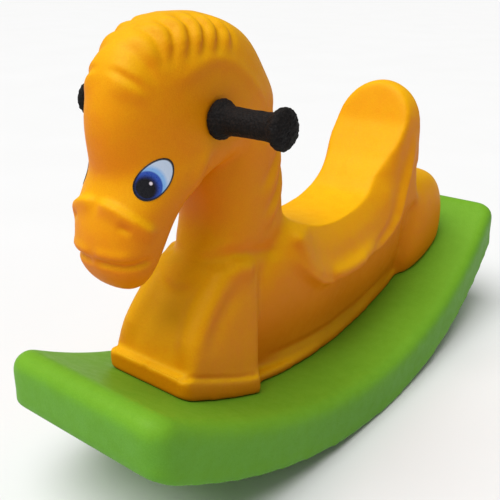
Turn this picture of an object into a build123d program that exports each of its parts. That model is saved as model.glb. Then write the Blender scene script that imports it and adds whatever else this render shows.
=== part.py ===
from build123d import *
import math
import os

# A toddler's rocking horse: a hollow moulded horse body bolted on a hollow curved rocker, with a handle through the
# head. Millimetres. +Z is up, the horse faces -Y and its left side is +X. The origin is on the floor, in the middle.

# rocker
ROCKER_HALF_LENGTH = 404
ROCKER_END_HALF_WIDTH = 111
ROCKER_MIDDLE_HALF_WIDTH = 139
ROCKER_CORNER_RADIUS = 25
ROCKER_BOTTOM_RADIUS = 758
DECK_RADIUS = 700
DECK_HEIGHT = 62
ROCKER_SHOULDER = 17
ROCKER_RIM_HEIGHT = 8
ROCKER_RIM_STEP = 2

# walls of both mouldings
WALL = 4

# handle
HANDLE_Y = -242.7
HANDLE_Z = 414.4
TUBE_RADIUS = 11
TUBE_WALL = 1.5
TUBE_CLEARANCE = 0.05
TUBE_HALF_LENGTH = 127
HANDLE_PAD_X = 52.2
HANDLE_PAD_RADIUS = 25
GRIP_INNER_X = 52.7
GRIP_OUTER_X = 136
GRIP_RADIUS = 13.5
FLANGE_RADIUS = 19.5
FLANGE_WIDTH = 8
FLANGE_ROUNDING = 2.5
DOME_HEIGHT = 4

# bolts through the deck into inserts in the body's floor
BOLT_PLACES = [(-30, -246), (30, -246), (-30, 262), (30, 262)]
BOLT_RADIUS = 4
BOLT_REACH = 16
BOLT_HEAD_FLATS = 13
BOLT_HEAD_HEIGHT = 5.3
BOLT_HOLE_RADIUS = 4.5
DECK_PAD = 10
RECESS_RADIUS = 13
WASHER_RADIUS = 10
WASHER_THICKNESS = 1.6
SPRING_WASHER_RADIUS = 7.2
SPRING_WASHER_THICKNESS = 2.1
INSERT_RADIUS = 6.5
INSERT_LENGTH = 18
INSERT_BOSS_RADIUS = 12
INSERT_BOSS_HEIGHT = 26
CAP_DEPTH = 1
CAP_THICKNESS = 3
CAP_COLLAR = 7
CAP_WALL = 1.5

# eyes
EYE_THICKNESS = 0.5
EYE_Y = -310
EYE_Z = 371
EYE_LONG = 46
EYE_SHORT = 28
EYE_TILT = 37
EYE_TURN = 22

# horizontal sections of the head, from the lips to the crown: height, front, back, half width
HEAD_SECTIONS = [
    (260, -341, -322, 17),
    (268, -352, -317, 32),
    (284, -361, -307, 42),
    (306, -365, -293, 46.5),
    (332, -361, -274, 49.5),
    (350, -354, -248, 51.5),
    (372, -346, -186, 53),
    (396, -349, -118, 53.5),
    (420, -350, -112, 53),
    (445, -345, -126, 51),
    (468, -336, -142, 47.5),
    (488, -319, -163, 41),
    (502, -294, -193, 30),
    (510, -268, -224, 14),
]
HEAD_SQUARENESS = 2.4

# neck, from inside the block to inside the head
NECK_SECTIONS = [
    (190, -262, -106, 45),
    (235, -256, -100, 45),
    (252, -246, -100, 46),
    (272, -231, -102, 48.5),
    (300, -222, -103, 50),
    (350, -226, -106, 49),
    (400, -236, -118, 45),
]
NECK_SQUARENESS = 2.6

# front block: corners of the side view, the middle of its curved front, half widths at its foot and its top
BLOCK_FOOT_FRONT = (-308, 60)
BLOCK_FRONT_LOW = (-306, 132)
BLOCK_FRONT_MIDDLE = (-282, 195)
BLOCK_TOP_FRONT = (-225, 250)
BLOCK_TOP_BACK = (-170, 252)
BLOCK_FOOT_BACK = (-190, 60)
BLOCK_FRONT_HALF_WIDTH = 58
BLOCK_BACK_HALF_WIDTH = 68
BLOCK_TOP_HALF_WIDTH = 50
BLOCK_ROUNDING = 10
PLINTH_HEIGHT = 23
PLINTH_STEP = 1.5

# torso under the saddle: height, front, back, half width
TORSO_SECTIONS = [
    (50, -215, 226, 36),
    (92, -215, 222, 37),
    (125, -214, 220, 43),
    (155, -210, 218, 52),
    (185, -202, 216, 59),
    (212, -188, 214, 63),
    (240, -166, 210, 63),
    (264, -140, 204, 60),
    (286, -118, 196, 54),
]
TORSO_SQUARENESS = 4.0
FOOT_HALF_WIDTHS = (50, 43, 35)
FOOT_HEIGHT = 12

# flap that hangs from the saddle over the torso's sides: lower edge in the side view
FLAP_LINE = [(-120, 262), (-104, 226), (-56, 190), (4, 180), (60, 190), (104, 216), (118, 262)]
FLAP_HALF_WIDTH = 69
FLAP_ROUNDING = 6

# seat: a round scoop between the neck and the backrest
SEAT_RADIUS = 190
SEAT_Y = -2
SEAT_LOW = 244

# backrest and haunch
BACKREST_HALF_WIDTH = 58
BACKREST_ARCH_Z = 338
BACKREST_SIDE_VIEW = [(50, 215), (76, 262), (115, 298), (151, 342), (176, 398), (198, 398), (200, 340), (206, 262),
                      (216, 215)]
HAUNCH_SECTIONS = [
    (80, 196, 296, 40),
    (104, 192, 314, 52),
    (130, 190, 326, 58),
    (160, 190, 330, 60),
    (190, 190, 327, 60),
    (216, 190, 320, 56),
    (235, 194, 306, 49),
    (247, 204, 286, 35),
]
HAUNCH_SQUARENESS = 3.2

LOOP_POINTS = 20

# foot flange under the torso: its front and back ends
FOOT_FRONT = -180
FOOT_BACK = 222

# lengths that only need to reach past the object, for cutting and intersecting
PAST = 400
TALL = 260
BELOW_DECK = 90


def deck_z(y):
    return DECK_HEIGHT + DECK_RADIUS - math.sqrt(DECK_RADIUS**2 - y**2)


def rounded_loop(z, front, back, half_width, squareness):
    """Closed smooth loop in a horizontal plane, between an ellipse and a rectangle."""
    middle = (front + back) / 2
    half_length = (back - front) / 2
    points = []
    for step in range(LOOP_POINTS):
        turn = 2 * math.pi * step / LOOP_POINTS
        across = math.cos(turn)
        along = math.sin(turn)
        x = math.copysign(abs(across) ** (2 / squareness), across) * half_width
        y = math.copysign(abs(along) ** (2 / squareness), along) * half_length
        points.append((x, middle + y, z))
    return Wire([Edge.make_spline([Vector(p) for p in points], periodic=True)])


def rounded_column(sections, squareness, inset):
    """Smooth solid through horizontal loops; inset moves every wall inwards."""
    low = sections[0][0]
    high = sections[-1][0]
    loops = []
    for z, front, back, half_width in sections:
        shift = inset * (1 - 2 * (z - low) / (high - low))
        loops.append(rounded_loop(z + shift, front + inset, back - inset, half_width - inset, squareness))
    return Solid.make_loft(loops)


def above_deck(lift):
    """The drum of space above the deck's curve, lifted by the given amount."""
    drum = Cylinder(DECK_RADIUS - lift, 2 * PAST, rotation=(0, 90, 0))
    return Pos(0, 0, DECK_HEIGHT + DECK_RADIUS) * drum


def rocker_form(inset):
    """The rocker's outer form, or its cavity when inset is given."""
    half_length = ROCKER_HALF_LENGTH - inset
    end_width = ROCKER_END_HALF_WIDTH - inset
    middle_width = ROCKER_MIDDLE_HALF_WIDTH - inset
    left = ThreePointArc((end_width, -half_length), (middle_width, 0), (end_width, half_length))
    right = ThreePointArc((-end_width, half_length), (-middle_width, 0), (-end_width, -half_length))
    rear = Line(left @ 1, right @ 0)
    front = Line(right @ 1, left @ 0)
    plan = make_face(Curve() + [left, rear, right, front])
    plan = fillet(plan.vertices(), ROCKER_CORNER_RADIUS - inset)
    column = extrude(plan, TALL)
    side = rocker_side(inset, DECK_RADIUS + inset, ROCKER_BOTTOM_RADIUS - inset, half_length + 20)
    form = column & side
    shoulder = form.edges().filter_by(lambda edge: on_deck_edge(edge, inset))
    form = fillet(shoulder, ROCKER_SHOULDER - inset)
    return form


def on_deck_edge(edge, inset):
    middle = edge.center()
    return middle.Z > deck_z(min(abs(middle.Y), ROCKER_HALF_LENGTH)) - inset - 6


def rocker_side(inset, top_radius, bottom_radius, half_length):
    """The rocker's side view between its two curves, as wide as anything."""
    top_centre = DECK_HEIGHT + DECK_RADIUS
    bottom_centre = ROCKER_BOTTOM_RADIUS
    top_end = top_centre - math.sqrt(top_radius**2 - half_length**2)
    bottom_end = bottom_centre - math.sqrt(bottom_radius**2 - half_length**2)
    low = ThreePointArc((-half_length, bottom_end), (0, bottom_centre - bottom_radius), (half_length, bottom_end))
    end = Line(low @ 1, (half_length, top_end))
    high = ThreePointArc((half_length, top_end), (0, top_centre - top_radius), (-half_length, top_end))
    start = Line(high @ 1, low @ 0)
    face = make_face(Plane.YZ * (Curve() + [low, end, high, start]))
    return extrude(face, PAST, both=True)


def bolt_plane(place):
    """Plane on the deck at a bolt, with its z axis square to the deck and pointing up."""
    x, y = place
    z = deck_z(y)
    upwards = (0, -y, DECK_HEIGHT + DECK_RADIUS - z)
    return Plane(origin=(x, y, z), x_dir=(1, 0, 0), z_dir=upwards)


def rod(plane, radius, low, high):
    """Cylinder on a plane's z axis between two heights."""
    return plane * Pos(0, 0, (low + high) / 2) * Cylinder(radius, high - low)


def make_rocker():
    outer = rocker_form(0) + rocker_rim()
    cavity = rocker_form(WALL)
    for place in BOLT_PLACES:
        cavity -= rod(bolt_plane(place), RECESS_RADIUS + WALL, -BELOW_DECK, 10)
    rocker = outer - cavity
    for place in BOLT_PLACES:
        plane = bolt_plane(place)
        rocker -= rod(plane, RECESS_RADIUS, -BELOW_DECK, -DECK_PAD)
        rocker -= rod(plane, BOLT_HOLE_RADIUS, -DECK_PAD - 1, 5)
    return rocker


def rocker_rim():
    """Low rim that stands proud round the rocker's bottom edge."""
    half_length = ROCKER_HALF_LENGTH
    end_width = ROCKER_END_HALF_WIDTH + ROCKER_RIM_STEP
    middle_width = ROCKER_MIDDLE_HALF_WIDTH + ROCKER_RIM_STEP
    left = ThreePointArc((end_width, -half_length), (middle_width, 0), (end_width, half_length))
    right = ThreePointArc((-end_width, half_length), (-middle_width, 0), (-end_width, -half_length))
    plan = make_face(Curve() + [left, Line(left @ 1, right @ 0), right, Line(right @ 1, left @ 0)])
    plan = fillet(plan.vertices(), ROCKER_CORNER_RADIUS)
    low_drum = Cylinder(ROCKER_BOTTOM_RADIUS, 2 * PAST, rotation=(0, 90, 0))
    high_drum = Cylinder(ROCKER_BOTTOM_RADIUS - ROCKER_RIM_HEIGHT, 2 * PAST, rotation=(0, 90, 0))
    return extrude(plan, TALL) & Pos(0, 0, ROCKER_BOTTOM_RADIUS) * (low_drum - high_drum)


def block_form(inset):
    """Front block that carries the neck: sloping front, sides that lean in, wider at the back."""
    low = BLOCK_FOOT_FRONT[1]
    high = BLOCK_TOP_BACK[1]
    curve = ThreePointArc(BLOCK_FRONT_LOW, BLOCK_FRONT_MIDDLE, BLOCK_TOP_FRONT)
    straight = Polyline(BLOCK_TOP_FRONT, BLOCK_TOP_BACK, BLOCK_FOOT_BACK, BLOCK_FOOT_FRONT, BLOCK_FRONT_LOW)
    side_view = make_face(Plane.YZ * (Curve() + [curve, straight]))
    wide = BLOCK_BACK_HALF_WIDTH
    narrow = BLOCK_TOP_HALF_WIDTH
    front_view = make_face(Plane.XZ * Polyline((-wide, low), (wide, low), (narrow, high), (-narrow, high), close=True))
    front = BLOCK_FOOT_FRONT[0]
    back = BLOCK_TOP_BACK[0]
    slim = BLOCK_FRONT_HALF_WIDTH
    plan = make_face(Polyline((-slim, front), (slim, front), (wide, back), (-wide, back), close=True))
    if inset:
        side_view = offset(side_view, -inset, kind=Kind.INTERSECTION)
        front_view = offset(front_view, -inset, kind=Kind.INTERSECTION)
        plan = offset(plan, -inset, kind=Kind.INTERSECTION)
    form = extrude(side_view, PAST, both=True) & extrude(front_view, PAST, both=True) & extrude(plan, TALL)
    edges = form.edges().filter_by(lambda edge: edge.center().Z > low + 2 * inset + 1)
    return form if inset else fillet(edges, BLOCK_ROUNDING)


def plinth():
    """Band round the foot of the block."""
    front = BLOCK_FOOT_FRONT[0] - PLINTH_STEP
    back = BLOCK_FOOT_BACK[0] + PLINTH_STEP
    slim = BLOCK_FRONT_HALF_WIDTH + PLINTH_STEP
    wide = BLOCK_BACK_HALF_WIDTH + PLINTH_STEP
    plan = make_face(Polyline((-slim, front), (slim, front), (wide, back), (-wide, back), close=True))
    plan = fillet(plan.vertices(), BLOCK_ROUNDING)
    return extrude(plan, TALL) & (above_deck(0) - above_deck(PLINTH_HEIGHT))


def foot():
    """Low flange where the torso stands on the deck."""
    front_width, middle_width, back_width = FOOT_HALF_WIDTHS
    left = ThreePointArc((front_width, FOOT_FRONT), (middle_width, 0), (back_width, FOOT_BACK))
    right = ThreePointArc((-back_width, FOOT_BACK), (-middle_width, 0), (-front_width, FOOT_FRONT))
    plan = make_face(Curve() + [left, Line(left @ 1, right @ 0), right, Line(right @ 1, left @ 0)])
    return extrude(plan, TALL) & (above_deck(0) - above_deck(FOOT_HEIGHT))


def flap():
    """Saddle flap over both sides of the torso."""
    edge = Spline(*FLAP_LINE)
    face = make_face(Plane.YZ * (Curve() + [edge, Line(edge @ 1, edge @ 0)]))
    form = extrude(face, FLAP_HALF_WIDTH, both=True)
    rims = form.edges().filter_by(lambda rim: abs(rim.center().X) > FLAP_HALF_WIDTH - 1)
    return fillet(rims, FLAP_ROUNDING)


def seat_scoop(inset):
    """The round space that the rider sits in, between the neck and the backrest."""
    scoop = Cylinder(SEAT_RADIUS + inset, PAST, rotation=(0, 90, 0))
    return Pos(0, SEAT_Y, SEAT_LOW + SEAT_RADIUS) * scoop


def backrest_form(inset):
    """Backrest: an arch from the front, a wedge that leans back from the side."""
    width = BACKREST_HALF_WIDTH - inset
    low = BACKREST_SIDE_VIEW[0][1] + inset
    arch = ThreePointArc((width, BACKREST_ARCH_Z), (0, BACKREST_ARCH_Z + width), (-width, BACKREST_ARCH_Z))
    sides = Polyline((-width, BACKREST_ARCH_Z), (-width, low), (width, low), (width, BACKREST_ARCH_Z))
    front_view = make_face(Plane.XZ * (Curve() + [arch, sides]))
    side_view = make_face(Plane.YZ * Polyline(*BACKREST_SIDE_VIEW, close=True))
    if inset:
        side_view = offset(side_view, -inset, kind=Kind.INTERSECTION)
    return extrude(front_view, PAST, both=True) & extrude(side_view, PAST, both=True)


def body_form(inset):
    """The horse's outer form, or its cavity when inset is given."""
    form = Part() + rounded_column(TORSO_SECTIONS, TORSO_SQUARENESS, inset)
    if not inset:
        form += flap()
    form -= seat_scoop(inset)
    form += backrest_form(inset)
    form += rounded_column(HAUNCH_SECTIONS, HAUNCH_SQUARENESS, inset)
    form += block_form(inset)
    form += rounded_column(NECK_SECTIONS, NECK_SQUARENESS, inset)
    form += rounded_column(HEAD_SECTIONS, HEAD_SQUARENESS, inset)
    return form & above_deck(inset)


def eye_prism(side):
    """Leaning elliptical prism that cuts an eye out of a skin round the head."""
    turn = math.radians(EYE_TURN)
    outward = Vector(side * math.cos(turn), -math.sin(turn), 0)
    rearward = Vector(side * math.sin(turn), math.cos(turn), 0)
    plane = Plane(origin=(side * 15, EYE_Y, EYE_Z), x_dir=rearward, z_dir=outward)
    tilt = EYE_TILT if plane.y_dir.Z > 0 else -EYE_TILT
    ellipse = Rot(0, 0, tilt) * Ellipse(EYE_LONG / 2, EYE_SHORT / 2)
    return extrude(plane * ellipse, 60)


def make_eye(side, head):
    """Thin printed disc that lies on the head's side."""
    skin = Part() + rounded_column(HEAD_SECTIONS, HEAD_SQUARENESS, -EYE_THICKNESS)
    return (skin - head) & eye_prism(side)


def handle_rod(radius, half_length):
    """Cylinder on the handle's axis."""
    return Pos(0, HANDLE_Y, HANDLE_Z) * Cylinder(radius, 2 * half_length, rotation=(0, 90, 0))


def make_body():
    outer = body_form(0) + plinth() + foot()
    cavity = body_form(WALL)
    cavity -= handle_rod(TUBE_RADIUS + TUBE_CLEARANCE + WALL, PAST)
    for place in BOLT_PLACES:
        cavity -= rod(bolt_plane(place), INSERT_BOSS_RADIUS, -5, INSERT_BOSS_HEIGHT)
    body = outer - cavity
    body -= handle_rod(TUBE_RADIUS + TUBE_CLEARANCE, PAST)
    body -= handle_rod(HANDLE_PAD_RADIUS, PAST) - handle_rod(HANDLE_PAD_RADIUS + 1, HANDLE_PAD_X)
    for place in BOLT_PLACES:
        body -= rod(bolt_plane(place), INSERT_RADIUS, -5, INSERT_LENGTH)
    return body


def make_handle_tube():
    return handle_rod(TUBE_RADIUS, TUBE_HALF_LENGTH) - handle_rod(TUBE_RADIUS - TUBE_WALL, TUBE_HALF_LENGTH + 1)


def make_grip(side):
    """Grip with a flange at each end; the outer end is closed and domed."""
    inner_flange_end = GRIP_INNER_X + FLANGE_WIDTH
    outer_flange_start = GRIP_OUTER_X - DOME_HEIGHT - FLANGE_WIDTH
    outer_flange_end = GRIP_OUTER_X - DOME_HEIGHT
    outline = [
        (GRIP_INNER_X, TUBE_RADIUS),
        (GRIP_INNER_X, FLANGE_RADIUS),
        (inner_flange_end, FLANGE_RADIUS),
        (inner_flange_end + 2, GRIP_RADIUS),
        (outer_flange_start - 2, GRIP_RADIUS),
        (outer_flange_start, FLANGE_RADIUS),
        (outer_flange_end, FLANGE_RADIUS),
        (GRIP_OUTER_X, 0),
        (TUBE_HALF_LENGTH, 0),
        (TUBE_HALF_LENGTH, TUBE_RADIUS),
    ]
    sides = Polyline(*outline[:7])
    dome = ThreePointArc(outline[6], (GRIP_OUTER_X - DOME_HEIGHT / 4, FLANGE_RADIUS / 2), outline[7])
    inside = Polyline(*outline[7:], outline[0])
    face = make_face(Curve() + [sides, dome, inside])
    grip = revolve(face, Axis.X)
    rims = grip.edges().filter_by(GeomType.CIRCLE).filter_by(lambda edge: abs(edge.radius - FLANGE_RADIUS) < 0.1)
    grip = fillet(rims, FLANGE_ROUNDING)
    if side < 0:
        grip = mirror(grip, Plane.YZ)
    return Pos(0, HANDLE_Y, HANDLE_Z) * grip


def ring(plane, outer_radius, inner_radius, low, high):
    return rod(plane, outer_radius, low, high) - rod(plane, inner_radius, low - 1, high + 1)


def head_top():
    """Height of the bolt heads' upper faces under the deck."""
    return -DECK_PAD - WASHER_THICKNESS - SPRING_WASHER_THICKNESS


def make_bolt(place):
    plane = bolt_plane(place)
    head = extrude(RegularPolygon(BOLT_HEAD_FLATS / 2, 6, major_radius=False), BOLT_HEAD_HEIGHT)
    head = chamfer(head.edges().group_by(Axis.Z)[0], 0.6)
    head = plane * Pos(0, 0, head_top() - BOLT_HEAD_HEIGHT) * head
    shank = plane * Pos(0, 0, head_top()) * Cylinder(
        BOLT_RADIUS, BOLT_REACH - head_top(), align=(Align.CENTER, Align.CENTER, Align.MIN))
    return head + shank


def make_washer(place):
    return ring(bolt_plane(place), WASHER_RADIUS, BOLT_RADIUS + 0.3, -DECK_PAD - WASHER_THICKNESS, -DECK_PAD)


def make_spring_washer(place):
    """Split washer, with the gap that lets it spring."""
    plane = bolt_plane(place)
    washer = ring(plane, SPRING_WASHER_RADIUS, BOLT_RADIUS + 0.2, head_top(), -DECK_PAD - WASHER_THICKNESS)
    return washer - plane * Pos(6, 0, head_top()) * Rot(20, 0, 0) * Box(6, 1.2, 12)


def make_insert(place):
    return ring(bolt_plane(place), INSERT_RADIUS, BOLT_RADIUS, 0.2, INSERT_LENGTH)


def mouth_depth(place):
    """How far under the deck a bolt's axis meets the rocker's underside."""
    plane = bolt_plane(place)
    start = plane.origin - Vector(place[0], 0, ROCKER_BOTTOM_RADIUS)
    along = start.dot(plane.z_dir)
    return -along - math.sqrt(along**2 - start.dot(start) + ROCKER_BOTTOM_RADIUS**2)


def make_cap(place):
    """Cap pressed into a bolt recess, just inside the underside."""
    plane = bolt_plane(place)
    low = mouth_depth(place) + CAP_DEPTH
    cap = rod(plane, RECESS_RADIUS, low, low + CAP_THICKNESS)
    return cap + ring(plane, RECESS_RADIUS, RECESS_RADIUS - CAP_WALL, low, low + CAP_COLLAR)


def group(make):
    """One node made of a separate solid at each bolt."""
    return Compound(children=[make(place).solid() for place in BOLT_PLACES])


def main():
    os.makedirs("parts", exist_ok=True)
    body = make_body()
    head = Part() + rounded_column(HEAD_SECTIONS, HEAD_SQUARENESS, 0)
    nodes = {
        "horse_body": body,
        "rocker_base": make_rocker(),
        "eye_left": make_eye(1, head),
        "eye_right": make_eye(-1, head),
        "handle_tube": make_handle_tube(),
        "grip_left": make_grip(1),
        "grip_right": make_grip(-1),
        "body_inserts": group(make_insert),
        "base_bolts": group(make_bolt),
        "base_washers": group(make_washer),
        "spring_washers": group(make_spring_washer),
        "recess_caps": group(make_cap),
    }
    for name, shape in nodes.items():
        export_step(shape, f"parts/{name}.step")
        box = shape.bounding_box()
        print(name, len(shape.solids()), round(shape.volume), tuple(box.min), tuple(box.max))


main()
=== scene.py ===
import math

import bmesh
import bpy
import numpy as np
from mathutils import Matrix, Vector, noise
from mathutils.bvhtree import BVHTree


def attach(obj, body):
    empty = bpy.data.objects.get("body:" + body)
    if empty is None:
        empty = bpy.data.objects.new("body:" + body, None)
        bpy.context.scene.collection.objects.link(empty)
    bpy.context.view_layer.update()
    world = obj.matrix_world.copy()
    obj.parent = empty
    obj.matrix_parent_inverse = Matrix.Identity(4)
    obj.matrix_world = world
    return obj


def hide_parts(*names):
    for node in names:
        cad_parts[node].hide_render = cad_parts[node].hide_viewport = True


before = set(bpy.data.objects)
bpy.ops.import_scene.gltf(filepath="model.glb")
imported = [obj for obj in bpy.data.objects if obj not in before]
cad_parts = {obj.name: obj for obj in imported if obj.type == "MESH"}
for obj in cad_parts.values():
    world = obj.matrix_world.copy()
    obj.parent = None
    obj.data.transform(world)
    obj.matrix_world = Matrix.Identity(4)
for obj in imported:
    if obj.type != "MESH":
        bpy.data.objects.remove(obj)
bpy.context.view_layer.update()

HORSE = "rocking_horse"
HANDLE = "handle"

# Places and sizes are in millimetres: x to the horse's left, y to its rear, z up.
MM = 0.001
BODY_CELL = 2.6
ROCKER_CELL = 3.2

HANDLE_Y = -242.7
HANDLE_Z = 414.4
GRIP_INNER_X = 52.7
GRIP_OUTER_X = 136
GRIP_BORE_X = 127
GRIP_MIDDLE_X = 94
GRIP_BARREL = 22
GRIP_FLANGE_REACH = 20
GRIP_PLAIN_END = 1

EYE_Y = -310
EYE_Z = 371
EYE_LONG = 23
EYE_SHORT = 14
EYE_TILT = 37
EYE_TURN = 22
EYE_LIFT = 0.5
EYE_INNER_X = 15
EYE_REACH = 80
EYE_MESH_RINGS = 24

SEAT_RADIUS = 190
SEAT_Y = -2
SEAT_LOW = 244
SADDLE_FRONT = -112
SADDLE_BACK = 135
SADDLE_FADE = 40
SADDLE_HALF_WIDTH = 69
SADDLE_TAPER = 23
SADDLE_LEAST_ACROSS = 30
SADDLE_LEAST_RISE = 12.0
# shares of the height from the saddle's rim, at 0, to the seat, at 1
SADDLE_ROLL_TOP = 1.4
SADDLE_TAPER_TOP = 1.15
SADDLE_TAPER_POWER = 1.6

scene = bpy.context.scene


# ---------------------------------------------------------------- node trees

def socket_of(value):
    return isinstance(value, bpy.types.NodeSocket)


def feed(tree, target, value):
    """Links a socket, or sets a plain value, on one input."""
    if socket_of(value):
        tree.links.new(value, target)
    else:
        target.default_value = value


def put(tree, kind, inputs=None, **settings):
    """One node with its settings and inputs."""
    node = tree.nodes.new(kind)
    for name, value in settings.items():
        setattr(node, name, value)
    for name, value in (inputs or {}).items():
        feed(tree, node.inputs[name], value)
    return node


def maths(tree, operation, a, b=0.0, clamp=False):
    node = tree.nodes.new("ShaderNodeMath")
    node.operation = operation
    node.use_clamp = clamp
    feed(tree, node.inputs[0], a)
    feed(tree, node.inputs[1], b)
    return node.outputs[0]


def blend_colours(tree, factor, a, b, way="MIX"):
    """Colour mix; on this node the colours are inputs 6 and 7 and output 2."""
    node = tree.nodes.new("ShaderNodeMix")
    node.data_type = "RGBA"
    node.blend_type = way
    feed(tree, node.inputs[0], factor)
    feed(tree, node.inputs[6], a)
    feed(tree, node.inputs[7], b)
    return node.outputs[2]


def stretch(tree, value, low, high, to_low=0.0, to_high=1.0, way="LINEAR"):
    """Maps a value from one range to another, held at both ends."""
    node = tree.nodes.new("ShaderNodeMapRange")
    node.interpolation_type = way
    node.clamp = True
    ends = {"From Min": low, "From Max": high, "To Min": to_low, "To Max": to_high}
    for name, number in ends.items():
        node.inputs[name].default_value = number
    feed(tree, node.inputs["Value"], value)
    return node.outputs["Result"]


def cloud(tree, place, scale, detail=2.0, roughness=0.5):
    inputs = {"Vector": place, "Scale": scale, "Detail": detail, "Roughness": roughness}
    return put(tree, "ShaderNodeTexNoise", inputs).outputs["Fac"]


def cells(tree, place, scale):
    """Distance to the nearest point of a scatter, for specks and lumps."""
    inputs = {"Vector": place, "Scale": scale}
    return put(tree, "ShaderNodeTexVoronoi", inputs, feature="F1").outputs["Distance"]


def new_group(name, inputs, outputs):
    """Empty shader group with its named inputs and outputs."""
    group = bpy.data.node_groups.new(name, "ShaderNodeTree")
    for label, kind, value in inputs:
        socket = group.interface.new_socket(label, in_out="INPUT", socket_type=kind)
        if value is not None:
            socket.default_value = value
    for label, kind in outputs:
        group.interface.new_socket(label, in_out="OUTPUT", socket_type=kind)
    return group, group.nodes.new("NodeGroupInput"), group.nodes.new("NodeGroupOutput")


def moulded_skin_group():
    """Skin of moulded polyethylene: cloudy colour, painted light on the upward-facing tops, dark specks,
    orange peel and rubbed edges.

    Deep is a multiplier on the colour under it.
    """
    group, given, out = new_group("moulded_skin", [
        ("Place", "NodeSocketVector", None),
        ("Colour", "NodeSocketColor", (0.8, 0.4, 0.05, 1)),
        ("Deep", "NodeSocketColor", (0.5, 0.2, 0.02, 1)),
        ("Top light", "NodeSocketColor", (0.9, 0.5, 0.1, 1)),
        ("Worn", "NodeSocketColor", (0.9, 0.7, 0.4, 1)),
        ("Upward", "NodeSocketFloat", 0.5),
        ("Gloss", "NodeSocketFloat", 0.5),
    ], [
        ("Colour", "NodeSocketColor"),
        ("Roughness", "NodeSocketFloat"),
        ("Height", "NodeSocketFloat"),
    ])
    place = given.outputs["Place"]
    deep = given.outputs["Deep"]
    broad = cloud(group, place, 9.0, 3.0)
    mottle = cloud(group, place, 70.0, 4.0, 0.6)
    grain = cloud(group, place, 900.0, 3.0, 0.55)
    peel = cloud(group, place, 380.0, 2.0)
    speck = cells(group, place, 420.0)
    deep_share = maths(group, "ADD", stretch(group, broad, 0.35, 0.7, 0.0, 0.4),
                       stretch(group, mottle, 0.4, 0.75, 0.0, 0.35), clamp=True)
    deep_share = maths(group, "ADD", deep_share, stretch(group, grain, 0.38, 0.64, -0.12, 0.4), clamp=True)
    # Painted light: the more a surface faces up, the more it turns to the lighter, yellower top colour, as if
    # lit from above.
    uneven = maths(group, "ADD", given.outputs["Upward"], stretch(group, mottle, 0.3, 0.7, -0.06, 0.06))
    painted_top_light = stretch(group, uneven, 0.35, 0.95, 0.0, 1.0, "SMOOTHSTEP")
    colour = blend_colours(group, painted_top_light, given.outputs["Colour"], given.outputs["Top light"])
    deepened = blend_colours(group, 1.0, colour, deep, "MULTIPLY")
    colour = blend_colours(group, deep_share, colour, deepened)
    specks = maths(group, "MULTIPLY", stretch(group, speck, 0.06, 0.16, 1.0, 0.0),
                   stretch(group, mottle, 0.5, 0.7, 0.0, 0.35))
    deepened = blend_colours(group, 1.0, colour, deep, "MULTIPLY")
    colour = blend_colours(group, specks, colour, deepened)
    bend = put(group, "ShaderNodeNewGeometry").outputs["Pointiness"]
    edges = stretch(group, bend, 0.53, 0.62)
    scuffs = cloud(group, place, 140.0, 4.0)
    rubbed = maths(group, "MULTIPLY", edges, stretch(group, scuffs, 0.42, 0.62, 0.0, 0.55))
    colour = blend_colours(group, rubbed, colour, given.outputs["Worn"])
    feed(group, out.inputs["Colour"], colour)
    rough = maths(group, "ADD", given.outputs["Gloss"], stretch(group, mottle, 0.3, 0.7, -0.05, 0.07))
    rough = maths(group, "ADD", rough, maths(group, "MULTIPLY", rubbed, 0.2), clamp=True)
    feed(group, out.inputs["Roughness"], rough)
    height = maths(group, "ADD", maths(group, "MULTIPLY", grain, 0.35), maths(group, "MULTIPLY", peel, 0.65))
    feed(group, out.inputs["Height"], maths(group, "ADD", height, maths(group, "MULTIPLY", mottle, 0.8)))
    return group


def new_material(name):
    material = bpy.data.materials.new(name)
    material.use_nodes = True
    tree = material.node_tree
    tree.nodes.clear()
    shader = put(tree, "ShaderNodeBsdfPrincipled")
    out = put(tree, "ShaderNodeOutputMaterial")
    tree.links.new(shader.outputs[0], out.inputs["Surface"])
    return material, tree, shader


def add_bump(tree, shader, height, strength, distance):
    bump = put(tree, "ShaderNodeBump", {"Height": height, "Strength": strength, "Distance": distance})
    tree.links.new(bump.outputs["Normal"], shader.inputs["Normal"])


def moulded_plastic(name, skin, colour, top_light_colour, deep, worn, gloss, glow):
    material, tree, shader = new_material(name)
    place = put(tree, "ShaderNodeTexCoord").outputs["Object"]
    upward = put(tree, "ShaderNodeAttribute", attribute_name="upward").outputs["Fac"]
    inputs = {"Place": place, "Colour": colour, "Top light": top_light_colour, "Deep": deep, "Upward": upward,
              "Worn": worn, "Gloss": gloss}
    node = put(tree, "ShaderNodeGroup", inputs, node_tree=skin)
    tree.links.new(node.outputs["Colour"], shader.inputs["Base Color"])
    tree.links.new(node.outputs["Roughness"], shader.inputs["Roughness"])
    shader.inputs["Subsurface Weight"].default_value = glow
    shader.inputs["Subsurface Radius"].default_value = (0.006, 0.003, 0.001)
    shader.inputs["Subsurface Scale"].default_value = 1.0
    shader.inputs["Specular IOR Level"].default_value = 0.1
    add_bump(tree, shader, node.outputs["Height"], 0.45, 0.0008)
    return material


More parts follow.
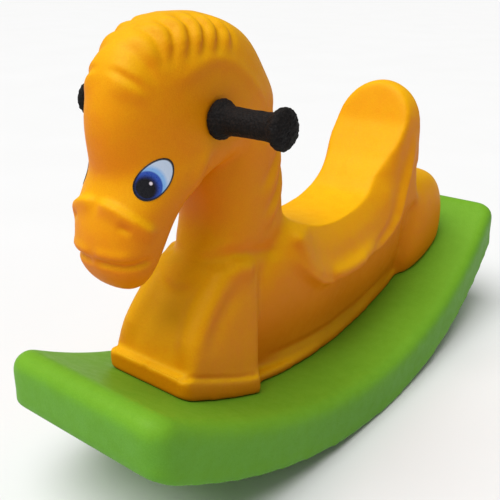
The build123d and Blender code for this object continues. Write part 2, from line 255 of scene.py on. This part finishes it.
def grip_rubber():
    material, tree, shader = new_material("black_grip_rubber")
    place = put(tree, "ShaderNodeTexCoord").outputs["Object"]
    lumps = cells(tree, place, 420.0)
    grain = cloud(tree, place, 1300.0, 3.0, 0.6)
    dust = cloud(tree, place, 120.0, 4.0)
    # Painted shade: the hollows between the knobs of the skin are made darker.
    hollow_shade = stretch(tree, lumps, 0.1, 0.6)
    dusty = stretch(tree, dust, 0.52, 0.75, 0.0, 0.35)
    colour = blend_colours(tree, hollow_shade, (0.012, 0.009, 0.008, 1), (0.004, 0.003, 0.003, 1))
    colour = blend_colours(tree, dusty, colour, (0.035, 0.026, 0.022, 1))
    tree.links.new(colour, shader.inputs["Base Color"])
    tree.links.new(stretch(tree, dust, 0.3, 0.7, 0.62, 0.85), shader.inputs["Roughness"])
    shader.inputs["Specular IOR Level"].default_value = 0.18
    height = maths(tree, "ADD", maths(tree, "MULTIPLY", lumps, -1.2), maths(tree, "MULTIPLY", grain, 0.5))
    add_bump(tree, shader, height, 0.8, 0.0009)
    return material


def metal(name, colour, dull, rough_low, rough_high):
    material, tree, shader = new_material(name)
    place = put(tree, "ShaderNodeTexCoord").outputs["Object"]
    patch = cloud(tree, place, 260.0, 4.0, 0.6)
    streak = cloud(tree, place, 1500.0, 2.0)
    tarnished = blend_colours(tree, stretch(tree, patch, 0.4, 0.7), colour, dull)
    tree.links.new(tarnished, shader.inputs["Base Color"])
    tree.links.new(stretch(tree, patch, 0.3, 0.7, rough_low, rough_high), shader.inputs["Roughness"])
    shader.inputs["Metallic"].default_value = 1.0
    add_bump(tree, shader, maths(tree, "ADD", patch, streak), 0.3, 0.0002)
    return material


# rings of the printed eye, largest first: centre along the eye, radius, soft edge, colour
EYE_INKS = [
    (-0.28, 0.68, 0.08, (0.23, 0.46, 0.83, 1)),
    (-0.37, 0.57, 0.03, (0.022, 0.075, 0.42, 1)),
    (-0.46, 0.45, 0.07, (0.007, 0.014, 0.09, 1)),
    (-0.51, 0.38, 0.04, (0.003, 0.003, 0.006, 1)),
    (-0.23, 0.065, 0.02, (0.75, 0.66, 0.72, 1)),
]


def round_mask(tree, u, v, centre, radius, edge):
    """Mask that is 1 inside a circle on the eye's print and 0 outside it."""
    across = maths(tree, "SUBTRACT", u, centre)
    squares = maths(tree, "ADD", maths(tree, "MULTIPLY", across, across), maths(tree, "MULTIPLY", v, v))
    return stretch(tree, maths(tree, "SQRT", squares), radius - edge, radius + edge, 1.0, 0.0)


def eye_print():
    """White of the eye, blue iris, black pupil, a small highlight and a black outline.

    The rings' centres and radii are shares of the eye's half length.
    """
    material, tree, shader = new_material("printed_eye")
    uv = put(tree, "ShaderNodeUVMap", uv_map="print").outputs["UV"]
    parts = put(tree, "ShaderNodeSeparateXYZ", {"Vector": uv})
    u = maths(tree, "MULTIPLY", maths(tree, "SUBTRACT", parts.outputs["X"], 0.5), 2.0)
    across = maths(tree, "MULTIPLY", maths(tree, "SUBTRACT", parts.outputs["Y"], 0.5), 2.0)
    v = maths(tree, "MULTIPLY", across, EYE_SHORT / EYE_LONG)
    squares = maths(tree, "ADD", maths(tree, "MULTIPLY", u, u), maths(tree, "MULTIPLY", across, across))
    outline = stretch(tree, maths(tree, "SQRT", squares), 0.885, 0.93)
    ink = cloud(tree, put(tree, "ShaderNodeTexCoord").outputs["Object"], 500.0, 3.0)
    white = blend_colours(tree, ink, (0.60, 0.69, 0.83, 1), (0.50, 0.61, 0.80, 1))
    colour = white
    for centre, radius, edge, ink_colour in EYE_INKS:
        colour = blend_colours(tree, round_mask(tree, u, v, centre, radius, edge), colour, ink_colour)
    colour = blend_colours(tree, outline, colour, (0.004, 0.004, 0.008, 1))
    tree.links.new(colour, shader.inputs["Base Color"])
    tree.links.new(stretch(tree, ink, 0.3, 0.7, 0.22, 0.4), shader.inputs["Roughness"])
    add_bump(tree, shader, ink, 0.1, 0.0003)
    return material


# ---------------------------------------------------------------- meshes

def mark_upward(bm):
    """Keeps on every vertex how far it faces the sky, for the painted light on the upper surfaces."""
    layer = bm.verts.layers.float.new("upward")
    bm.normal_update()
    for vert in bm.verts:
        vert[layer] = 0.5 + 0.5 * vert.normal.z


def new_piece(name, bm, body, material, *nodes):
    """Finished piece: a mesh in the shared frame that rides on a body and stands for its CAD nodes."""
    mark_upward(bm)
    mesh = bpy.data.meshes.new(name)
    bm.to_mesh(mesh)
    bm.free()
    for face in mesh.polygons:
        face.use_smooth = True
    mesh.materials.append(material)
    piece = bpy.data.objects.new(name, mesh)
    scene.collection.objects.link(piece)
    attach(piece, body)
    if nodes:
        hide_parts(*nodes)
    return piece


def outer_skin(node):
    """Merged copy of a hollow CAD node with its sealed inner wall left out."""
    bm = bmesh.new()
    bm.from_mesh(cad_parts[node].data)
    bmesh.ops.remove_doubles(bm, verts=bm.verts, dist=2e-6)
    left = set(bm.verts)
    islands = []
    while left:
        front = [left.pop()]
        island = list(front)
        while front:
            vert = front.pop()
            for edge in vert.link_edges:
                other = edge.other_vert(vert)
                if other in left:
                    left.remove(other)
                    front.append(other)
                    island.append(other)
        islands.append(island)
    keep = max(islands, key=lambda island: max(v.co.z for v in island) - min(v.co.z for v in island))
    inner = [v for island in islands if island is not keep for v in island]
    bmesh.ops.delete(bm, geom=inner, context="VERTS")
    return bm


def even_mesh(bm, size, name):
    """Even quads of a given size over the same shape."""
    mesh = bpy.data.meshes.new(name)
    bm.to_mesh(mesh)
    bm.free()
    piece = bpy.data.objects.new(name, mesh)
    scene.collection.objects.link(piece)
    remesh = piece.modifiers.new("even", "REMESH")
    remesh.mode = "VOXEL"
    remesh.voxel_size = size
    shown = piece.evaluated_get(bpy.context.evaluated_depsgraph_get())
    result = bmesh.new()
    result.from_mesh(shown.to_mesh())
    shown.to_mesh_clear()
    bpy.data.objects.remove(piece)
    bpy.data.meshes.remove(mesh)
    return result


def soften(bm, rounds, verts=None):
    for _ in range(rounds):
        bmesh.ops.smooth_vert(bm, verts=verts or bm.verts[:], factor=0.5, use_axis_x=True, use_axis_y=True,
                              use_axis_z=True)


def line_distance(points, line):
    """Distance from each point to a broken line, and how far along it the nearest place lies, from 0 to 1."""
    line = np.array(line, float) * MM
    best = np.full(len(points), 1e9)
    along = np.zeros(len(points))
    lengths = np.linalg.norm(np.diff(line, axis=0), axis=1)
    total = lengths.sum()
    done = 0.0
    for start, end, length in zip(line[:-1], line[1:], lengths):
        share = np.clip((points - start) @ (end - start) / length**2, 0, 1)
        gap = np.linalg.norm(points - start - share[:, None] * (end - start), axis=1)
        closer = gap < best
        best[closer] = gap[closer]
        along[closer] = (done + share[closer] * length) / total
        done += length
    return best, along


def lay_on(bm, line):
    """The same line in short steps, each pulled onto the nearest place of the surface."""
    tree = BVHTree.FromBMesh(bm)
    places = []
    for start, end in zip(line, line[1:]):
        start = Vector(start)
        end = Vector(end)
        steps = max(1, round((end - start).length / 5))
        places += [start.lerp(end, step / steps) for step in range(steps)]
    places.append(Vector(line[-1]))
    return [tree.find_nearest(place * MM)[0] / MM for place in places]


def raise_line(bm, line, width, height, fade=0.15, lopsided=0.0):
    """Raises a soft ridge, or sinks a groove, along a line on both sides of the horse. Millimetres.

    Lopsided leaves the ridge's side above the line steeper than the side below it.
    """
    line = lay_on(bm, line)
    bm.normal_update()
    bm.verts.ensure_lookup_table()
    spots = np.array([v.co for v in bm.verts])
    spots[:, 0] = np.abs(spots[:, 0])
    gap, along = line_distance(spots, line)
    reach = np.full(len(spots), float(width))
    if lopsided:
        heights = np.interp(along, np.linspace(0, 1, len(line)), [place[2] for place in line])
        reach *= np.where(spots[:, 2] / MM > heights, 1 - lopsided, 1 + lopsided)
    rise = height * MM * np.exp(-(gap / (reach * MM)) ** 2)
    rise *= np.clip(np.minimum(along, 1 - along) / fade, 0.0, 1.0)
    for index in np.nonzero(np.abs(rise) > 1e-6)[0]:
        vert = bm.verts[int(index)]
        vert.co += vert.normal * float(rise[index])


def soften_box(bm, rounds, least_across, along, up):
    """Smooths what lies further out than a distance and inside two ranges, on both sides of the horse."""
    chosen = []
    for vert in bm.verts:
        x, y, z = abs(vert.co.x) / MM, vert.co.y / MM, vert.co.z / MM
        if x > least_across and along[0] < y < along[1] and up[0] < z < up[1]:
            chosen.append(vert)
    soften(bm, rounds, chosen)


# ---------------------------------------------------------------- horse body

# ridges and grooves: line of places (across, along, up), width, height, share of the length that fades
MANE_GROOVES = [
    ([(2, -322, 488), (20, -318, 480), (32, -312, 466), (38, -308, 452)], 4.5, -1.6, 0.3),
    ([(4, -300, 500), (22, -296, 490), (34, -298, 476), (39, -302, 462)], 4.0, -2.0, 0.3),
    ([(8, -282, 506), (27, -278, 497), (38, -286, 481), (43, -294, 464)], 4.0, -3.0, 0.25),
    ([(10, -262, 509), (30, -258, 500), (41, -266, 484), (45, -276, 467)], 4.0, -3.2, 0.25),
    ([(12, -243, 509), (32, -240, 499), (43, -250, 482), (46, -260, 469)], 4.0, -3.4, 0.25),
    ([(14, -225, 507), (35, -222, 494), (45, -233, 478), (47, -241, 471)], 4.0, -3.2, 0.25),
    ([(14, -208, 503), (36, -204, 486), (46, -214, 472)], 4.0, -2.4, 0.3),
]
MANE_LOCKS = [
    ([(3, -311, 494), (24, -306, 484), (35, -304, 467)], 6.0, 1.6, 0.3),
    ([(8, -291, 503), (28, -287, 492), (39, -293, 472)], 5.5, 2.2, 0.3),
    ([(10, -272, 508), (30, -268, 498), (42, -277, 474)], 5.5, 2.6, 0.3),
    ([(12, -253, 510), (32, -249, 499), (44, -259, 475)], 5.5, 3.0, 0.3),
    ([(14, -234, 508), (34, -231, 496), (46, -242, 475)], 5.5, 3.0, 0.3),
    ([(15, -216, 505), (36, -213, 490), (47, -223, 472)], 5.5, 2.6, 0.3),
]
FACE_LINES = [
    # curls of the forelock over the brow
    ([(4, -336, 474), (20, -330, 468), (32, -322, 458), (38, -312, 446)], 5.0, 1.7, 0.4),
    ([(0, -342, 464), (16, -338, 460), (29, -330, 452), (36, -321, 443)], 5.0, 1.5, 0.4),
    ([(2, -340, 469), (18, -334, 464), (30, -326, 455), (37, -317, 445)], 3.0, -1.6, 0.4),
    # edge of the forelock over the brow, then the mane's scalloped lower edge
    ([(6, -344, 458), (24, -339, 450), (34, -329, 446), (41, -316, 440)], 7.0, 1.8, 0.3),
    ([(42, -306, 449), (45, -293, 453), (47, -281, 457), (48, -265, 463), (48, -250, 468), (47, -234, 469),
      (48, -212, 462), (49, -194, 450), (50, -172, 432), (49, -152, 405)], 7.0, 1.6, 0.2),
    # cheek, from the grip down to the jaw
    ([(53, -247, 392), (53, -262, 378), (52, -274, 362), (50, -285, 342)], 7.0, 2.0, 0.35),
    ([(53, -236, 386), (53, -250, 370), (51, -262, 352)], 8.0, -2.0, 0.35),
    # nostril
    ([(28, -357, 334), (34, -354, 331), (39, -349, 327)], 3.5, -3.0, 0.3),
    # mouth under the upper lip
    ([(0, -364, 294), (16, -362, 294), (28, -356, 294), (38, -345, 295), (44, -330, 298)], 3.4, -4.6, 0.12),
    ([(0, -365, 303), (16, -363, 303), (28, -357, 303), (38, -347, 303)], 5.0, 2.2, 0.2),
]
NECK_LINES = [
    ([(48, -112, 392), (50, -130, 366), (51, -150, 344), (50, -172, 324)], 6.0, -2.6, 0.3),
    ([(46, -106, 360), (49, -124, 334), (50, -146, 310), (50, -168, 292)], 6.0, -2.6, 0.3),
    ([(46, -104, 330), (49, -122, 304), (50, -142, 284), (49, -160, 270)], 6.0, -2.6, 0.3),
    ([(47, -108, 377), (50, -127, 350), (51, -148, 327), (50, -170, 308)], 8.0, 2.2, 0.3),
    ([(46, -104, 345), (49, -122, 319), (50, -144, 297), (50, -164, 281)], 8.0, 2.2, 0.3),
]
SADDLE_RIM = [(57, 181, 330), (58, 176, 300), (58, 160, 264), (60, 148, 240), (61, 134, 214), (60, 114, 197),
              (62, 85, 184), (68, 50, 182), (69, 16, 181), (69, -20, 178), (66, -46, 178), (64, -68, 187),
              (62, -90, 205), (60, -113, 226), (57, -128, 242)]
NOSE_EDGE = [(0, -355, 350), (14, -356, 350), (26, -354, 347), (36, -348, 340), (44, -340, 331),
             (48, -326, 321)]
SADDLE_VALLEY = [(56, 138, 262), (56, 112, 232), (57, 80, 212), (58, 40, 205), (58, 0, 203), (57, -36, 204),
                 (56, -64, 214), (55, -88, 232)]
BLOCK_RIDGE = [(47, -298, 163), (40, -286, 189), (34, -268, 214), (33, -250, 231), (38, -232, 244),
               (44, -210, 250)]
BLOCK_HOLLOW = [(58, -270, 168), (54, -250, 196), (50, -225, 216), (50, -200, 226)]
BLOCK_SHOULDER = [(40, -222, 250), (48, -202, 246), (52, -182, 238)]
NECK_FOOT = [(0, -246, 262), (30, -238, 262), (44, -215, 262), (49, -190, 258), (51, -160, 250),
             (50, -130, 246)]
PLINTH_GROOVE = [(0, -308, 161), (54, -308, 161), (61, -272, 145), (65, -232, 128), (68, -196, 116)]
FOOT_CREASE = [(44, -150, 104), (37, -110, 97), (38, -57, 90), (38, 13, 86), (37, 77, 89), (37, 130, 99),
               (40, 180, 112)]
HAUNCH_CREASE = [(60, 146, 236), (58, 161, 214), (53, 171, 189), (44, 190, 154), (38, 196, 129)]
# the body's larger forms in the order they are made: line, width, height, fading share, lopsidedness
BODY_FORMS = [
    (NOSE_EDGE, 6.5, 5.0, 0.15, 0.5),
    (SADDLE_VALLEY, 12.0, -1.8, 0.3),
    (SADDLE_RIM, 9.0, 8.5, 0.15),
    (BLOCK_HOLLOW, 12.0, -3.0, 0.3),
    (BLOCK_RIDGE, 12.0, 4.5, 0.2),
    (NECK_FOOT, 8.0, -4.0, 0.2),
    (BLOCK_SHOULDER, 11.0, 6.5, 0.3),
    (HAUNCH_CREASE, 5.0, -3.0, 0.2),
    (FOOT_CREASE, 5.0, -3.0, 0.15),
]

# places that are smoothed again: rounds, least distance across, range along, range up
ANYWHERE = -1
NECK_BLENDS = [
    # neck into the head, then into the block
    (40, 24, (-262, -85), (262, 405)),
    (12, ANYWHERE, (-300, -85), (236, 285)),
]
BODY_BLENDS = [
    # seat into its sides, backrest and haunch
    (24, 40, (-120, 120), (232, math.inf)),
    (14, ANYWHERE, (-110, 215), (242, math.inf)),
    (5, ANYWHERE, (60, 340), (100, math.inf)),
    # under the saddle's rim, at the back and at the front
    (45, 36, (30, 235), (172, 280)),
    (15, 36, (-135, -40), (175, 275)),
    # step from the block to the torso
    (14, 34, (-210, -150), (116, 250)),
]


def roll_saddle(bm):
    """Rolls the seat over its sides, down to the saddle's rim, so that the saddle is widest at the rim."""
    rim = sorted((along, up) for _, along, up in SADDLE_RIM)
    rim_along = [place[0] for place in rim]
    rim_up = [place[1] for place in rim]
    for vert in bm.verts:
        across, along, up = abs(vert.co.x) / MM, vert.co.y / MM, vert.co.z / MM
        if not SADDLE_FRONT < along < SADDLE_BACK or across < SADDLE_LEAST_ACROSS:
            continue
        foot = np.interp(along, rim_along, rim_up)
        seat = SEAT_LOW + SEAT_RADIUS - math.sqrt(SEAT_RADIUS**2 - (along - SEAT_Y) ** 2)
        share = (up - foot) / max(seat - foot, SADDLE_LEAST_RISE)
        if not 0 < share < SADDLE_ROLL_TOP:
            continue
        taper = min(share, SADDLE_TAPER_TOP) ** SADDLE_TAPER_POWER
        widest = SADDLE_HALF_WIDTH - SADDLE_TAPER * taper
        ends = min(1.0, (along - SADDLE_FRONT) / SADDLE_FADE, (SADDLE_BACK - along) / SADDLE_FADE)
        if across > widest:
            vert.co.x = math.copysign((across + (widest - across) * ends) * MM, vert.co.x)


def build_horse_body(material):
    bm = even_mesh(outer_skin("horse_body"), BODY_CELL * MM, "horse_skin")
    soften(bm, 8)
    for blend in NECK_BLENDS:
        soften_box(bm, *blend)
    roll_saddle(bm)
    for blend in BODY_BLENDS:
        soften_box(bm, *blend)
    for form in MANE_GROOVES + MANE_LOCKS + FACE_LINES + NECK_LINES + BODY_FORMS:
        raise_line(bm, *form)
    soften(bm, 2)
    raise_line(bm, PLINTH_GROOVE, 2.8, -2.0, 0.03)
    return new_piece("horse_body_skin", bm, HORSE, material, "horse_body")


# ---------------------------------------------------------------- grips and eyes

# outline of a grip from its inner end to its outer end: place along x, radius
GRIP_OUTLINE = [
    (GRIP_INNER_X, 11.2), (GRIP_INNER_X, 16.5), (54.0, 18.7), (56.5, 19.5), (59.5, 19.0), (62.5, 16.8),
    (66.5, 14.6), (74, 13.8), (88, 13.3), (102, 13.3), (114, 13.7), (119, 14.8), (122.5, 17.2),
    (125.5, 19.1), (128.5, 19.6), (131.5, 18.6), (133.8, 15.5), (135.2, 11), (135.8, 6), (GRIP_OUTER_X, 0),
]


def build_grip(side, material):
    """Soft grip, swollen at both ends, with a knobbly skin and a blind bore for the tube."""
    bm = bmesh.new()
    verts = [bm.verts.new((x * MM, HANDLE_Y * MM, (HANDLE_Z + radius) * MM)) for x, radius in GRIP_OUTLINE]
    edges = [bm.edges.new(pair) for pair in zip(verts, verts[1:])]
    bmesh.ops.spin(bm, geom=verts + edges, cent=(0, HANDLE_Y * MM, HANDLE_Z * MM), axis=(1, 0, 0),
                   angle=math.tau, steps=40, use_merge=True)
    bmesh.ops.remove_doubles(bm, verts=bm.verts, dist=1e-5)
    bmesh.ops.subdivide_edges(bm, edges=bm.edges[:], cuts=2, smooth=0.9, use_grid_fill=True)
    bm.normal_update()
    bmesh.ops.recalc_face_normals(bm, faces=bm.faces)
    bm.normal_update()
    for vert in bm.verts:
        place = vert.co / MM
        if place.x < GRIP_INNER_X + GRIP_PLAIN_END:
            continue
        swelling = 0.3 + 0.9 * max(0, abs(place.x - GRIP_MIDDLE_X) - GRIP_BARREL) / GRIP_FLANGE_REACH
        knobs = noise.noise(place * 0.28) + 0.6 * noise.noise(place * 0.7)
        vert.co += vert.normal * knobs * swelling * MM
    mouth = [edge for edge in bm.edges if edge.is_boundary]
    bore = bmesh.ops.extrude_edge_only(bm, edges=mouth)["geom"]
    bottom = [item for item in bore if isinstance(item, bmesh.types.BMVert)]
    bmesh.ops.translate(bm, vec=((GRIP_BORE_X - GRIP_INNER_X) * MM, 0, 0), verts=bottom)
    bmesh.ops.holes_fill(bm, edges=[edge for edge in bm.edges if edge.is_boundary], sides=0)
    bmesh.ops.recalc_face_normals(bm, faces=bm.faces)
    if side < 0:
        bmesh.ops.scale(bm, vec=(-1, 1, 1), verts=bm.verts)
        bmesh.ops.reverse_faces(bm, faces=bm.faces)
    name = "grip_left" if side > 0 else "grip_right"
    piece = new_piece(name + "_rubber", bm, HANDLE, material, name)
    return piece


def build_eye(side, skin, material):
    """Printed disc that follows the head's curve. Its UV holds the print: u the long way, v the short way."""
    bm = bmesh.new()
    verts = [bm.verts.new((step / EYE_MESH_RINGS, 0, 0)) for step in range(EYE_MESH_RINGS + 1)]
    edges = [bm.edges.new(pair) for pair in zip(verts, verts[1:])]
    bmesh.ops.spin(bm, geom=verts + edges, cent=(0, 0, 0), axis=(0, 0, 1), angle=math.tau, steps=72,
                   use_merge=True)
    bmesh.ops.remove_doubles(bm, verts=bm.verts, dist=1e-5)
    print_layer = bm.loops.layers.uv.new("print")
    for face in bm.faces:
        for loop in face.loops:
            loop[print_layer].uv = (0.5 + 0.5 * loop.vert.co.x, 0.5 + 0.5 * loop.vert.co.y)
    turn = math.radians(EYE_TURN)
    outward = Vector((side * math.cos(turn), -math.sin(turn), 0))
    rearward = Vector((side * math.sin(turn), math.cos(turn), 0))
    tilt = math.radians(EYE_TILT)
    long_way = rearward * math.cos(tilt) + Vector((0, 0, 1)) * math.sin(tilt)
    short_way = Vector((0, 0, 1)) * math.cos(tilt) - rearward * math.sin(tilt)
    centre = Vector((side * EYE_INNER_X, EYE_Y, EYE_Z)) * MM
    for vert in bm.verts:
        flat = centre + (long_way * vert.co.x * EYE_LONG + short_way * vert.co.y * EYE_SHORT) * MM
        place, normal, _, _ = skin.ray_cast(flat + outward * (EYE_REACH * MM), -outward)
        vert.co = place + normal * EYE_LIFT * MM
    bmesh.ops.recalc_face_normals(bm, faces=bm.faces)
    bm.normal_update()
    middle = min(bm.faces, key=lambda face: (face.calc_center_median() - centre).length)
    if middle.normal.dot(outward) < 0:
        bmesh.ops.reverse_faces(bm, faces=bm.faces)
    bmesh.ops.solidify(bm, geom=bm.faces[:], thickness=EYE_LIFT * MM)
    name = "eye_left" if side > 0 else "eye_right"
    piece = new_piece(name + "_print", bm, HORSE, material, name)
    return piece


def build_rocker(material):
    bm = even_mesh(outer_skin("rocker_base"), ROCKER_CELL * MM, "rocker_skin")
    soften(bm, 9)
    piece = new_piece("rocker_skin", bm, HORSE, material, "rocker_base")
    return piece


# ---------------------------------------------------------------- setting

def build_floor():
    bm = bmesh.new()
    bmesh.ops.create_grid(bm, x_segments=1, y_segments=1, size=40.0)
    mesh = bpy.data.meshes.new("floor")
    bm.to_mesh(mesh)
    bm.free()
    floor = bpy.data.objects.new("floor", mesh)
    scene.collection.objects.link(floor)
    material, tree, shader = new_material("pale_floor")
    place = put(tree, "ShaderNodeTexCoord").outputs["Object"]
    shade = cloud(tree, place, 3.0, 3.0)
    colour = blend_colours(tree, shade, (0.75, 0.75, 0.745, 1), (0.78, 0.78, 0.78, 1))
    tree.links.new(colour, shader.inputs["Base Color"])
    shader.inputs["Roughness"].default_value = 0.9
    mesh.materials.append(material)


def build_light():
    """Soft light from high up in front, a little to the left, with an even glow all round."""
    world = bpy.data.worlds.new("studio")
    world.use_nodes = True
    background = world.node_tree.nodes["Background"]
    background.inputs[0].default_value = (1, 1, 1, 1)
    background.inputs[1].default_value = 0.27
    scene.world = world
    lamp = bpy.data.lights.new("key", "SUN")
    lamp.energy = 3.45
    lamp.angle = math.radians(58)
    holder = bpy.data.objects.new("key", lamp)
    holder.rotation_euler = Vector((0.12, 0.36, -0.92)).to_track_quat("-Z", "Y").to_euler()
    scene.collection.objects.link(holder)


def build_camera():
    camera = bpy.data.cameras.new("camera")
    camera.lens = 51.4
    camera.sensor_width = 36
    holder = bpy.data.objects.new("camera", camera)
    place = Vector((0.4932, -0.7558, 0.5523))
    aim = Vector((0, -0.1280, 0.2306))
    holder.location = place
    holder.rotation_euler = (aim - place).to_track_quat("-Z", "Y").to_euler()
    scene.collection.objects.link(holder)
    scene.camera = holder


def main():
    scene.view_settings.view_transform = "Standard"
    skin = moulded_skin_group()
    # Each plastic's second colour is painted light, which the surfaces that face up take on.
    amber = moulded_plastic("amber_plastic", skin, colour=(0.75, 0.222, 0.001, 1),
                            top_light_colour=(0.86, 0.45, 0.002, 1), deep=(0.90, 0.76, 0.6, 1),
                            worn=(0.92, 0.55, 0.03, 1), gloss=0.5, glow=0.03)
    green = moulded_plastic("green_plastic", skin, colour=(0.135, 0.36, 0.035, 1),
                            top_light_colour=(0.165, 0.38, 0.022, 1), deep=(0.80, 0.85, 0.7, 1),
                            worn=(0.36, 0.55, 0.2, 1), gloss=0.5, glow=0.02)
    rubber = grip_rubber()
    eyes = eye_print()
    zinc = metal("zinc_plate", (0.62, 0.63, 0.64, 1), (0.45, 0.45, 0.42, 1), 0.3, 0.5)
    brass = metal("turned_brass", (0.78, 0.55, 0.25, 1), (0.55, 0.36, 0.15, 1), 0.25, 0.45)
    body = build_horse_body(amber)
    build_rocker(green)
    faces = [list(face.vertices) for face in body.data.polygons]
    skin_tree = BVHTree.FromPolygons([vert.co for vert in body.data.vertices], faces)
    for side in (1, -1):
        build_grip(side, rubber)
        build_eye(side, skin_tree, eyes)
    finishes = {"handle_tube": zinc, "base_bolts": zinc, "base_washers": zinc, "spring_washers": zinc,
                "body_inserts": brass, "recess_caps": green}
    for name, material in finishes.items():
        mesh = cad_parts[name].data
        mesh.materials.clear()
        mesh.materials.append(material)
    build_floor()
    build_light()
    build_camera()


main()
